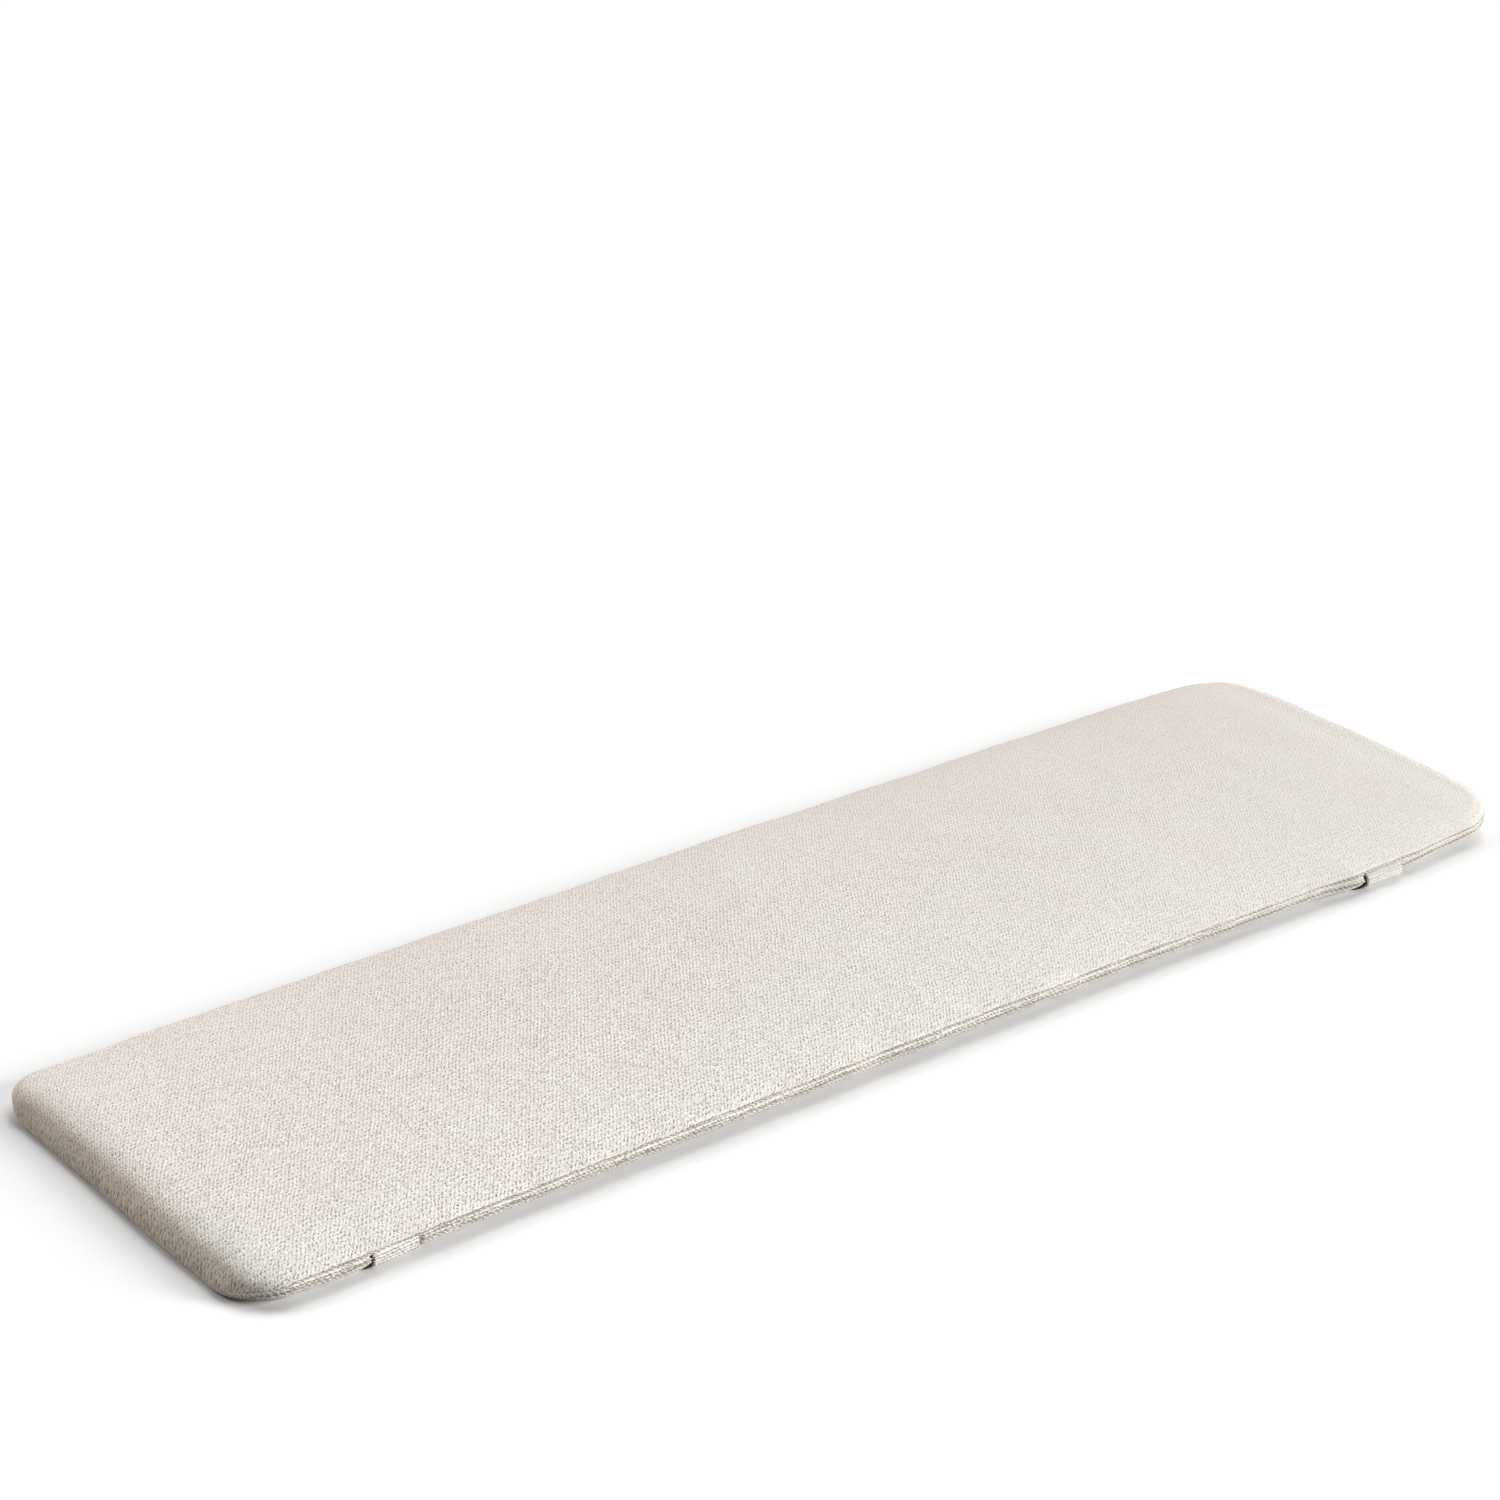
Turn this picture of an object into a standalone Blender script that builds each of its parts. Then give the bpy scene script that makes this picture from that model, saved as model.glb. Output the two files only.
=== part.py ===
"""Bench cushion: a long, thin filled pad with two fastening straps at its near edge.

Metres, +Z up, +X along the pad's length. The near long side faces -Y. The origin is the
middle of the flat underside, so the pad lies on the plane z = 0.
"""
import math

import bmesh
import bpy
from mathutils import Vector, noise

# The filled pad.
LENGTH = 1.200
WIDTH = 0.350
THICKNESS = 0.0214
CORNER_RADIUS = 0.046
HALF_LENGTH = LENGTH / 2
HALF_WIDTH = WIDTH / 2

# The filling pushes the top up: along the length at the rim too, and across it in the middle.
LENGTHWISE_RISE = 0.0034
CROWN = 0.0018
# The filling also pushes the right end out, and a stretch of the near side by its strap.
RIGHT_END_BOW = 0.0058
NEAR_SIDE_BULGE = 0.0044
NEAR_SIDE_BULGE_X = 0.395
NEAR_SIDE_BULGE_REACH = 0.140
# The rim is pulled down at the corners, where the cover is gathered, and each corner is drawn in
# by an amount of its own.
CORNER_FALL = 0.0022
CORNERS_DRAWN_IN = (
    {"corner": "near left", "x": -1, "y": -1, "drawn_in": -0.0012},
    {"corner": "near right", "x": 1, "y": -1, "drawn_in": 0.0030},
    {"corner": "far left", "x": -1, "y": 1, "drawn_in": 0.0004},
    {"corner": "far right", "x": 1, "y": 1, "drawn_in": 0.0074},
)

# Cloth is never even: soft puckers run along the seam, and broad waves cross the top.
PUCKER_DEPTH = 0.0016
PUCKER_PITCH = 0.075
WAVE_HEIGHT = 0.0011
WAVE_PITCH = 0.190
PUCKER_SEED = 4.7
WAVE_SEED = 11.3

# The pad's rim, row by row from the underside up to the top. Inset is how far a row lies inside
# the pad's outline, height is above the ground, and pucker is how much of the puckers it takes.
RIM = (
    {"row": "foot", "inset": 0.0100, "height": 0.0000, "pucker": 0.0},
    {"row": "under", "inset": 0.0032, "height": 0.0012, "pucker": 0.3},
    {"row": "lower bulge", "inset": 0.0000, "height": 0.0062, "pucker": 0.5},
    {"row": "seam", "inset": 0.0034, "height": 0.0112, "pucker": 0.5},
    {"row": "side", "inset": -0.0008, "height": 0.0140, "pucker": 0.9},
    {"row": "shoulder", "inset": 0.0028, "height": 0.0168, "pucker": 1.0},
    {"row": "brow", "inset": 0.0110, "height": 0.0188, "pucker": 0.8},
)
TOP_ROW = len(RIM) - 1

# How finely the pad is divided before it is smoothed.
CORNER_STEPS = 3
LENGTHWISE_STEPS = 20
CROSSWISE_STEPS = 5
SMOOTHING_LEVELS = 1

# The straps: a folded strip of the cushion's cloth, lined inside with a dark tape.
STRAP_WIDTH = 0.037
STRAP_THICKNESS = 0.0022
TAPE_WIDTH = 0.036
TAPE_THICKNESS = 0.0010
CLEARANCE = 0.0003
STRAP_TUCK = 0.062
STRAP_STEPS_ACROSS = 3
BEND_STEPS = 6
TUCK_STEPS = 6
FLOOR_HEIGHT = STRAP_THICKNESS / 2
ROOT_HEIGHT = 0.0115
ROOT_DEPTH = 0.0070
SLIP_POWER = 4

# Each strap's middle along X, how far its belly loops out past the pad's side, how tightly it
# bends, and how far its tape has slipped along X by the time it lies on the ground.
STRAPS = (
    {"side": "left", "x": -0.4775, "belly": 0.0004, "bend": 0.0034, "tape_slip": -0.006},
    {"side": "right", "x": 0.4445, "belly": 0.0084, "bend": 0.0050, "tape_slip": -0.011},
)

# Colours are linear RGB.
CLOTH_COLOUR = (0.800, 0.760, 0.700, 1.0)
CLOTH_ROUGHNESS = 0.95
TAPE_COLOUR = (0.012, 0.012, 0.013, 1.0)
TAPE_ROUGHNESS = 0.85


def clear_scene():
    for item in list(bpy.data.objects):
        bpy.data.objects.remove(item, do_unlink=True)


def make_collection(name):
    collection = bpy.data.collections.new(name)
    bpy.context.scene.collection.children.link(collection)
    return collection


def make_material(name, colour, roughness):
    material = bpy.data.materials.new(name)
    material.use_nodes = True
    shader = material.node_tree.nodes["Principled BSDF"]
    shader.inputs["Base Color"].default_value = colour
    shader.inputs["Roughness"].default_value = roughness
    shader.inputs["Metallic"].default_value = 0.0
    material.diffuse_color = colour
    return material


def object_from_bmesh(name, shape, collection, material):
    mesh = bpy.data.meshes.new(name)
    shape.to_mesh(mesh)
    shape.free()
    mesh.materials.append(material)
    mesh.shade_smooth()
    item = bpy.data.objects.new(name, mesh)
    collection.objects.link(item)
    return item


def stations(half_size, middle_steps):
    """Where the pad is divided along one axis: finer in the corners, even in between."""
    core = half_size - CORNER_RADIUS
    middle = [core * (2 * step / middle_steps - 1) for step in range(middle_steps + 1)]
    corner = [core + CORNER_RADIUS * step / CORNER_STEPS for step in range(1, CORNER_STEPS)]
    return sorted(middle + corner + [-place for place in corner])


def corner_share(place, half_size):
    """0 up to where the corner's curve begins, rising to 1 at the outline."""
    return max(abs(place) - (half_size - CORNER_RADIUS), 0.0) / CORNER_RADIUS


def plan_point(x, y, inset):
    """Bend the square grid into the rounded outline, drawn in by the inset.

    Also returns how far the point lies inside the outline, as far as the corner radius.
    """
    share_x = corner_share(x, HALF_LENGTH)
    share_y = corner_share(y, HALF_WIDTH)
    round_x = share_x * math.sqrt(1 - share_y ** 2 / 2)
    round_y = share_y * math.sqrt(1 - share_x ** 2 / 2)
    radius = CORNER_RADIUS - inset
    if share_x > 0:
        x = math.copysign(HALF_LENGTH - CORNER_RADIUS + radius * round_x, x)
    if share_y > 0:
        y = math.copysign(HALF_WIDTH - CORNER_RADIUS + radius * round_y, y)
    inside = CORNER_RADIUS - radius * math.hypot(round_x, round_y)
    return x, y, inside


def outward(x, y):
    """The direction in plan that points away from the pad's middle, square to its outline."""
    reach_x = math.copysign(corner_share(x, HALF_LENGTH), x)
    reach_y = math.copysign(corner_share(y, HALF_WIDTH), y)
    direction = Vector((reach_x, reach_y, 0.0))
    return direction.normalized() if direction.length > 0 else direction


def drawn_in(x, y):
    """How far the corners, the bowed end and the near bulge move a point of the rim inward."""
    share_x = corner_share(x, HALF_LENGTH)
    share_y = corner_share(y, HALF_WIDTH)
    total = 0.0
    for corner in CORNERS_DRAWN_IN:
        if x * corner["x"] > 0 and y * corner["y"] > 0:
            total += corner["drawn_in"] * min(share_x * share_y * 2, 1.0)
    if x > 0:
        total -= RIGHT_END_BOW * share_x * (1 - min(abs(y) / HALF_WIDTH, 1.0) ** 2)
    if y < 0:
        distance = (x - NEAR_SIDE_BULGE_X) / NEAR_SIDE_BULGE_REACH
        total -= NEAR_SIDE_BULGE * share_y * math.exp(-distance ** 2)
    return total


def pucker_at(x, y):
    place = Vector((x / PUCKER_PITCH, y / PUCKER_PITCH, PUCKER_SEED))
    return PUCKER_DEPTH * noise.noise(place)


def wave_at(x, y):
    place = Vector((x / WAVE_PITCH, y / WAVE_PITCH, WAVE_SEED))
    return WAVE_HEIGHT * noise.noise(place)


def top_height(inside):
    """The top's height at a distance inside the outline: it rises from the brow and levels off."""
    brow = RIM[TOP_ROW]
    reach = CORNER_RADIUS - brow["inset"]
    share = min((inside - brow["inset"]) / reach, 1.0)
    return brow["height"] + (THICKNESS - brow["height"]) * (1 - (1 - share) ** 2)


def shaped_point(grid_point):
    """Where one point of the divided block goes on the filled pad."""
    row = round(grid_point.z)
    rim = RIM[row]
    x, y, inside = plan_point(grid_point.x, grid_point.y, rim["inset"])
    shift = outward(x, y) * -drawn_in(x, y)
    if row == 0:
        return Vector((x, y, 0.0)) + shift
    height = top_height(inside) if row == TOP_ROW else rim["height"]
    fullness = height / THICKNESS
    share_x = min(abs(x) / HALF_LENGTH, 1.0)
    share_y = min(abs(y) / HALF_WIDTH, 1.0)
    lift = LENGTHWISE_RISE * (1 - share_x ** 2) * (1 - share_x ** 4)
    lift -= CORNER_FALL * (share_x * share_y) ** 8
    if row == TOP_ROW:
        lift += CROWN * (1 - share_x ** 4) * (1 - share_y ** 2)
        lift += wave_at(x, y)
    on_rim = 1 - min(inside / CORNER_RADIUS, 1.0)
    pucker = pucker_at(x, y) * rim["pucker"] * on_rim
    point = Vector((x, y, height + lift * fullness ** 2 + pucker / 2 * fullness))
    return point + shift + outward(x, y) * pucker


def make_cushion(collection, cloth):
    """The pad starts as a block, cut into a grid, and each point of it is then moved."""
    shape = bmesh.new()
    bmesh.ops.create_cube(shape, size=1.0)
    bmesh.ops.scale(shape, vec=(LENGTH, WIDTH, TOP_ROW), verts=shape.verts)
    bmesh.ops.translate(shape, vec=(0, 0, TOP_ROW / 2), verts=shape.verts)
    cuts = [((place, 0, 0), (1, 0, 0)) for place in stations(HALF_LENGTH, LENGTHWISE_STEPS)]
    cuts += [((0, place, 0), (0, 1, 0)) for place in stations(HALF_WIDTH, CROSSWISE_STEPS)]
    cuts += [((0, 0, row), (0, 0, 1)) for row in range(1, TOP_ROW)]
    for place, direction in cuts:
        everything = shape.verts[:] + shape.edges[:] + shape.faces[:]
        bmesh.ops.bisect_plane(shape, geom=everything, plane_co=place, plane_no=direction)
    for vertex in shape.verts:
        vertex.co = shaped_point(vertex.co)
    cushion = object_from_bmesh("cushion", shape, collection, cloth)
    smooth = cushion.modifiers.new("Filled form", "SUBSURF")
    smooth.levels = SMOOTHING_LEVELS
    smooth.render_levels = SMOOTHING_LEVELS
    return cushion


def strap_line(strap):
    """A strap's way in section, as (distance outside the pad's side, height): out of the seam,
    down in two bends with the belly between them, and back under the pad."""
    bend = strap["bend"]
    centre = strap["belly"] - bend
    angles = [math.pi / 2 * step / BEND_STEPS for step in range(BEND_STEPS + 1)]
    line = [(-ROOT_DEPTH, ROOT_HEIGHT)]
    for angle in angles:
        height = ROOT_HEIGHT - bend + bend * math.cos(angle)
        line.append((centre + bend * math.sin(angle), height))
    for angle in angles:
        height = FLOOR_HEIGHT + bend - bend * math.sin(angle)
        line.append((centre + bend * math.cos(angle), height))
    for step in range(1, TUCK_STEPS + 1):
        share = step / TUCK_STEPS
        line.append((centre - (centre + STRAP_TUCK) * share, FLOOR_HEIGHT))
    return line


def offset_route(line, distance):
    """The same way, moved square to itself towards the pad."""
    moved = []
    for index, (out, height) in enumerate(line):
        before = line[max(index - 1, 0)]
        after = line[min(index + 1, len(line) - 1)]
        run = Vector((after[0] - before[0], after[1] - before[1])).normalized()
        moved.append((out + run.y * distance, height - run.x * distance))
    return moved


def make_strip(name, strap, layer, clearance, collection, material):
    """One strap or its tape, or the slightly larger form that makes room for it in the pad."""
    if layer == "strap":
        width, thickness, inward, slip = STRAP_WIDTH, STRAP_THICKNESS, 0.0, 0.0
    else:
        width, thickness = TAPE_WIDTH, TAPE_THICKNESS
        inward = STRAP_THICKNESS / 2 + CLEARANCE + TAPE_THICKNESS / 2
        slip = strap["tape_slip"]
    line = offset_route(strap_line(strap), inward)
    if clearance > 0:
        line[0] = (line[0][0] - clearance, line[0][1])
        line[-1] = (line[-1][0] - clearance, line[-1][1])
    last = len(line) - 1
    shape = bmesh.new()
    bmesh.ops.create_grid(shape, x_segments=STRAP_STEPS_ACROSS, y_segments=last, size=0.5)
    for vertex in shape.verts:
        place = round((vertex.co.y + 0.5) * last)
        out, height = line[place]
        along = strap["x"] + vertex.co.x * (width + 2 * clearance)
        settled = min(max((ROOT_HEIGHT - height) / (ROOT_HEIGHT - FLOOR_HEIGHT), 0.0), 1.0)
        slipped = slip * settled ** SLIP_POWER
        vertex.co = Vector((along + slipped, -HALF_WIDTH - out, height))
    strip = object_from_bmesh(name, shape, collection, material)
    thicken = strip.modifiers.new("Cloth thickness", "SOLIDIFY")
    thicken.thickness = thickness + 2 * clearance
    thicken.offset = 0.0
    thicken.use_even_offset = True
    return strip


def make_room(cushion, cutter):
    cutter.hide_render = True
    cutter.display_type = "WIRE"
    cut = cushion.modifiers.new("Room for " + cutter.name, "BOOLEAN")
    cut.operation = "DIFFERENCE"
    cut.object = cutter


clear_scene()
parts = make_collection("bench_cushion")
cutters = make_collection("cutters")
cloth = make_material("cushion_cloth", CLOTH_COLOUR, CLOTH_ROUGHNESS)
dark_tape = make_material("dark_tape", TAPE_COLOUR, TAPE_ROUGHNESS)
cushion = make_cushion(parts, cloth)
for strap in STRAPS:
    for layer, material in (("strap", cloth), ("tape", dark_tape)):
        name = layer + "_" + strap["side"]
        make_strip(name, strap, layer, 0.0, parts, material)
        room = make_strip("room_" + name, strap, layer, CLEARANCE, cutters, material)
        make_room(cushion, room)
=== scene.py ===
"""A bench cushion: a long, thin filled pad in a coarse pale weave, lying on a pale floor.

It follows the cushion as it is made: the filled pad in its cover, the yarn and stitches of its
seam, the two fastening straps, and the dark tape inside each of them. The photographer's floor,
lights and camera come last.
"""
import math
from functools import partial

import bmesh
import bpy
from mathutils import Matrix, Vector, noise
from mathutils.bvhtree import BVHTree


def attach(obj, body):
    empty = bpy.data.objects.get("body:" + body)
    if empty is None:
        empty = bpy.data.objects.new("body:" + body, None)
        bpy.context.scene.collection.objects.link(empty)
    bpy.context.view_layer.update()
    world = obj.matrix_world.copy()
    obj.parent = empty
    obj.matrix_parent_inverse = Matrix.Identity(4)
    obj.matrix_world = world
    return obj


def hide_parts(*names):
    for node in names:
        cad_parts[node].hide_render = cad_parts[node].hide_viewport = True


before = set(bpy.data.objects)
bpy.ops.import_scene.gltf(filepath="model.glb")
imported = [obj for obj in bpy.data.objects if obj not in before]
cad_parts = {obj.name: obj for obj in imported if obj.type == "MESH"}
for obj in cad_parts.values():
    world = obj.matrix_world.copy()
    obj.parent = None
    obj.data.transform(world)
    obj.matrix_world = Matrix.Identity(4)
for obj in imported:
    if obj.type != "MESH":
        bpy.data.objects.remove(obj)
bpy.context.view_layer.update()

# ---------------------------------------------------------------------------------------------
# The filled pad in its cover. A slab of soft foam in a sewn cover of coarse plain-woven linen and
# polyester: a top panel that wraps down over the sides, and a bottom panel that comes up to meet
# it. The filling swells against the cover, and the seam draws it in.

LENGTH, WIDTH = 1.200, 0.350
TOP_OF_FOAM = 0.0214
CORNER_RADIUS, CORNER_STEPS = 0.046, 9
LENGTHWISE_RISE, CROWN = 0.0034, 0.0018
RIGHT_END_BOW = 0.0058
NEAR_SIDE_BULGE, BULGE_X, BULGE_REACH = 0.0044, 0.395, 0.140
CORNER_FALL = 0.0022
CORNERS_DRAWN_IN = {(-1, -1): -0.0012, (1, -1): 0.0030, (-1, 1): -0.0018, (1, 1): 0.0}
# The far right corner is gathered in further than the others, and over a longer stretch of edge.
FAR_RIGHT_GATHER, GATHER_REACH, GATHER_RISE = 0.0070, 0.080, 0.066
PUCKER_DEPTH, PUCKER_PITCH, PUCKER_SEED = 0.0016, 0.075, 4.7
WAVE_HEIGHT, WAVE_PITCH, WAVE_SEED = 0.0011, 0.190, 11.3

# The edge of the pad in section, from the underside up: how far inside the outline, how high, and
# how much of the cover's puckers it takes. The seam is at the fifth, where the edge is drawn in.
EDGE_SECTION = (
    (0.0220, 0.0000, 0.0), (0.0114, 0.0000, 0.0), (0.0048, 0.0010, 0.3), (0.0000, 0.0062, 0.5),
    (0.0034, 0.0112, 0.5), (-0.0008, 0.0140, 0.9), (0.0028, 0.0168, 1.0), (0.0110, 0.0188, 0.8),
    (0.0227, 0.0203, 0.8),
)
EDGE_SPANS, ROWS_PER_SPAN = 6, 3
UNDERSIDE_TO, SEAM_AT = 0.7, 3.0
FOLD_AT = 4.05    # a fine fold of the top panel, above the yarn row that lies over the seam
CELL, LEAST_CELL = 0.0084, 0.0032

# The ends in section. At the left end the top panel rolls down in one round sweep, and the seam
# runs down to the floor. At the right end the filling reaches further into the shoulder.
LEFT_END_SECTION = (
    (0.0260, 0.0000, 0.0), (0.0160, 0.0000, 0.0), (0.0093, 0.0000, 0.1), (0.0055, 0.0002, 0.3),
    (0.0038, 0.0022, 0.4), (0.0046, 0.0066, 0.7), (0.0096, 0.0140, 0.9), (0.0147, 0.0182, 0.8),
    (0.0234, 0.0198, 0.8),
)
RIGHT_END_SECTION = (
    (0.0220, 0.0000, 0.0), (0.0114, 0.0000, 0.0), (0.0050, 0.0010, 0.3), (0.0004, 0.0062, 0.5),
    (0.0028, 0.0112, 0.5), (-0.0010, 0.0148, 0.9), (0.0012, 0.0188, 1.0), (0.0100, 0.0207, 0.8),
    (0.0227, 0.0212, 0.8),
)
END_ROLL_REACH, END_ROLL_FADE = 0.034, 3.4
# The left corners' foot is tucked in under them, up to a place of the section.
FAR_LEFT_TUCK, NEAR_LEFT_TUCK, TUCK_TOP, TUCK_SPAN = 0.0046, 0.0014, 4.2, 1.8
# Short bulges of the lower edge, squeezed out beside the straps: middle along X, reach, and amount.
EDGE_BULGES = ((-0.520, 0.030, 0.0026), (0.415, 0.021, 0.0052), (0.482, 0.026, 0.0038))
BULGES_EASE_FROM, BULGES_EASE_SPAN, BULGES_EASE = 2.4, 1.8, 0.75

# The straps, because the pad makes room for them. Belly is how far one loops out past the pad's
# side, bend the radius of its two bends, and lean how much further in its right edge is tucked than
# its left. Slip is how far the tape has slipped along X at the floor, and shows how much of it
# shows past the strap's left edge.
STRAP_WIDTH, STRAP_THICKNESS = 0.037, 0.0022
TAPE_WIDTH, TAPE_THICKNESS = 0.036, 0.0010
LAYER_GAP = 0.0003
STRAP_TUCK = 0.062
STRAP_ROOT_HEIGHT, STRAP_ROOT_DEPTH, ROOT_RUN = 0.0115, 0.0070, 0.0020
STRAPS = {
    "left": {"x": -0.4775, "belly": -0.0010, "bend": 0.0034, "lean": 0.0020,
             "slip": -0.006, "shows": 0.0010},
    "right": {"x": 0.4445, "belly": 0.0084, "bend": 0.0050, "lean": -0.0010,
              "slip": -0.009, "shows": 0.0013},
}
BEND_STEPS, TUCK_STEPS = 8, 14
# Where the cover is divided beside a strap's edges, and past its tape's left edge.
LINES_BY_STRAP, LINES_BY_TAPE = (-0.003, -0.001, 0.001, 0.003, 0.0055), (0.002, 0.0045)


def zero_to_one(value):
    return min(max(value, 0.0), 1.0)


def bell(value, middle, reach):
    """A smooth hump, 1 at its middle, that fades out over its reach."""
    return math.exp(-((value - middle) / reach) ** 2)


def unevenness(x, y, pitch, seed):
    """Soft, uneven waves between -1 and 1 over the plan, a pitch apart."""
    return noise.noise(Vector((x / pitch, y / pitch, seed)))


def runs_along(points):
    """How far along their line each of the points lies."""
    runs = [0.0]
    for a, b in zip(points, points[1:]):
        runs.append(runs[-1] + math.hypot(b[0] - a[0], b[1] - a[1]))
    return runs


def edge_point(place, section=EDGE_SECTION):
    """The edge section at a place from 0, the foot, to 6, the brow, as a smooth curve."""
    span = min(int(place), EDGE_SPANS - 1)
    t = place - span
    blend = ((1 - t) ** 3 / 6, (3 * t ** 3 - 6 * t ** 2 + 4) / 6,
             (-3 * t ** 3 + 3 * t ** 2 + 3 * t + 1) / 6, t ** 3 / 6)
    rows = section[span:span + 4]
    return tuple(sum(b * row[k] for b, row in zip(blend, rows)) for k in range(3))


EDGE_ROWS = [edge_point(step / ROWS_PER_SPAN) for step in range(EDGE_SPANS * ROWS_PER_SPAN + 1)]
RUNS = runs_along(EDGE_ROWS)
FOOT_INSET, BROW_INSET, BROW_HEIGHT = EDGE_ROWS[0][0], EDGE_ROWS[-1][0], EDGE_ROWS[-1][1]


def pad_lines(half_size, extra=()):
    """Where the cover is divided along one axis: evenly, finer round the corners and by straps."""
    core = half_size - CORNER_RADIUS
    steps = round(2 * core / CELL)
    lines = [core * (2 * step / steps - 1) for step in range(steps + 1)]
    lines = [line for line in lines if all(abs(line - other) > LEAST_CELL for other in extra)]
    bend = [core + CORNER_RADIUS * step / CORNER_STEPS for step in range(1, CORNER_STEPS + 1)]
    return sorted(lines + list(extra) + bend + [-line for line in bend])


def corner_share(place, half_size):
    """How far a place along an axis has come into the corner's stretch, from 0 to 1."""
    return max(abs(place) - (half_size - CORNER_RADIUS), 0.0) / CORNER_RADIUS


def rounded(x, y, inset):
    """A point of the square pattern in the rounded outline, and how far inside it lies."""
    share_x, share_y = corner_share(x, LENGTH / 2), corner_share(y, WIDTH / 2)
    round_x = share_x * math.sqrt(1 - share_y ** 2 / 2)
    round_y = share_y * math.sqrt(1 - share_x ** 2 / 2)
    radius = CORNER_RADIUS - inset
    if share_x > 0:
        x = math.copysign(LENGTH / 2 - CORNER_RADIUS + radius * round_x, x)
    if share_y > 0:
        y = math.copysign(WIDTH / 2 - CORNER_RADIUS + radius * round_y, y)
    return x, y, CORNER_RADIUS - radius * math.hypot(round_x, round_y)


def outward(x, y):
    """The way out of the pad at a point near its edge, and no way further in."""
    reach = Vector((math.copysign(corner_share(x, LENGTH / 2), x),
                    math.copysign(corner_share(y, WIDTH / 2), y), 0.0))
    return reach.normalized() if reach.length > 0 else reach


def drawn_in(x, y):
    """How far the gathered corners, the bowed end and the near bulge move the edge inward."""
    share_x, share_y = corner_share(x, LENGTH / 2), corner_share(y, WIDTH / 2)
    corner = CORNERS_DRAWN_IN[(1 if x > 0 else -1, 1 if y > 0 else -1)]
    total = corner * min(share_x * share_y * 2, 1.0)
    if x > 0 and y > 0:
        near_x = zero_to_one((x - LENGTH / 2 + GATHER_REACH) / GATHER_RISE)
        near_y = zero_to_one((y - WIDTH / 2 + GATHER_REACH) / GATHER_RISE)
        eased = near_x ** 2 * (3 - 2 * near_x) * near_y ** 2 * (3 - 2 * near_y)
        total += FAR_RIGHT_GATHER * eased * min(math.hypot(share_x, share_y), 1.0)
    if x > 0:
        total -= RIGHT_END_BOW * share_x * (1 - min(abs(y) / (WIDTH / 2), 1.0) ** 2)
    if y < 0:
        total -= NEAR_SIDE_BULGE * share_y * bell(x, BULGE_X, BULGE_REACH)
    return total


def left_end_share(facing):
    """How much a part of the edge belongs to the left end. The far corner stays full for longer."""
    return max(-facing.x, 0.0) ** (2 if facing.y <= 0 else 4)


def end_shape(facing, place):
    """How much further in and lower the edge lies at a place of the section where it faces an end."""
    inset, height, _ = edge_point(place)
    further_in = lower = 0.0
    for section, share in ((LEFT_END_SECTION, left_end_share(facing)),
                           (RIGHT_END_SECTION, max(facing.x, 0.0) ** 2)):
        end_inset, end_height, _ = edge_point(place, section)
        further_in += (end_inset - inset) * share
        lower += (height - end_height) * share
    if facing.x < 0:
        tuck = FAR_LEFT_TUCK if facing.y > 0 else NEAR_LEFT_TUCK
        low_down = zero_to_one((TUCK_TOP - place) / TUCK_SPAN)
        further_in += tuck * 4 * (facing.x * facing.y) ** 2 * low_down
    return further_in, lower


def squeezed_out(x, facing, place):
    """How far the near side's lower edge bulges out beside the straps. The cloth above the seam
    follows less."""
    total = sum(amount * bell(x, middle, reach) for middle, reach, amount in EDGE_BULGES)
    eased = BULGES_EASE * zero_to_one((place - BULGES_EASE_FROM) / BULGES_EASE_SPAN)
    return total * (1.0 - eased) * max(-facing.y, 0.0) ** 2


def lengthwise_rise(x):
    share_x = min(abs(x) / (LENGTH / 2), 1.0)
    return LENGTHWISE_RISE * (1 - share_x ** 2) * (1 - share_x ** 4)


def filled_point(x, y, row):
    """Where a point of the cover's pattern lies on the filled pad, at an edge row or on top."""
    inset, height, takes = EDGE_ROWS[row]
    place = row / ROWS_PER_SPAN
    on_top = row == len(EDGE_ROWS) - 1
    x, y, inside = rounded(x, y, inset)
    facing = outward(x, y)
    shift = facing * (squeezed_out(x, facing, place) - drawn_in(x, y))
    if row == 0:
        return Vector((x, y, 0.0)) + shift
    if on_top:
        share = min((inside - BROW_INSET) / (CORNER_RADIUS - BROW_INSET), 1.0)
        height = BROW_HEIGHT + (TOP_OF_FOAM - BROW_HEIGHT) * (1 - (1 - share) ** 2)
    further_in, lower = end_shape(facing, place)
    fade = max(1 - (inside - BROW_INSET) / END_ROLL_REACH, 0.0) ** END_ROLL_FADE if on_top else 1.0
    shift -= facing * (further_in * fade)
    height -= lower * fade
    fullness = height / TOP_OF_FOAM
    share_x = min(abs(x) / (LENGTH / 2), 1.0)
    share_y = min(abs(y) / (WIDTH / 2), 1.0)
    lift = lengthwise_rise(x) - CORNER_FALL * (share_x * share_y) ** 8
    if on_top:
        lift += CROWN * (1 - share_x ** 4) * (1 - share_y ** 2)
        lift += WAVE_HEIGHT * unevenness(x, y, WAVE_PITCH, WAVE_SEED)
    pucker = PUCKER_DEPTH * unevenness(x, y, PUCKER_PITCH, PUCKER_SEED)
    pucker *= takes * (1 - min(inside / CORNER_RADIUS, 1.0))
    point = Vector((x, y, height + lift * fullness ** 2 + pucker / 2 * fullness))
    return point + shift + outward(x, y) * pucker


def placed(name, data):
    """A new object of the scene at the origin."""
    made = bpy.data.objects.new(name, data)
    bpy.context.scene.collection.objects.link(made)
    return made


BOTTOM_PANEL_CUT_AT = Vector((0.3011, 0.4523, 0.0))    # another part of the same bolt of cloth


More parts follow.
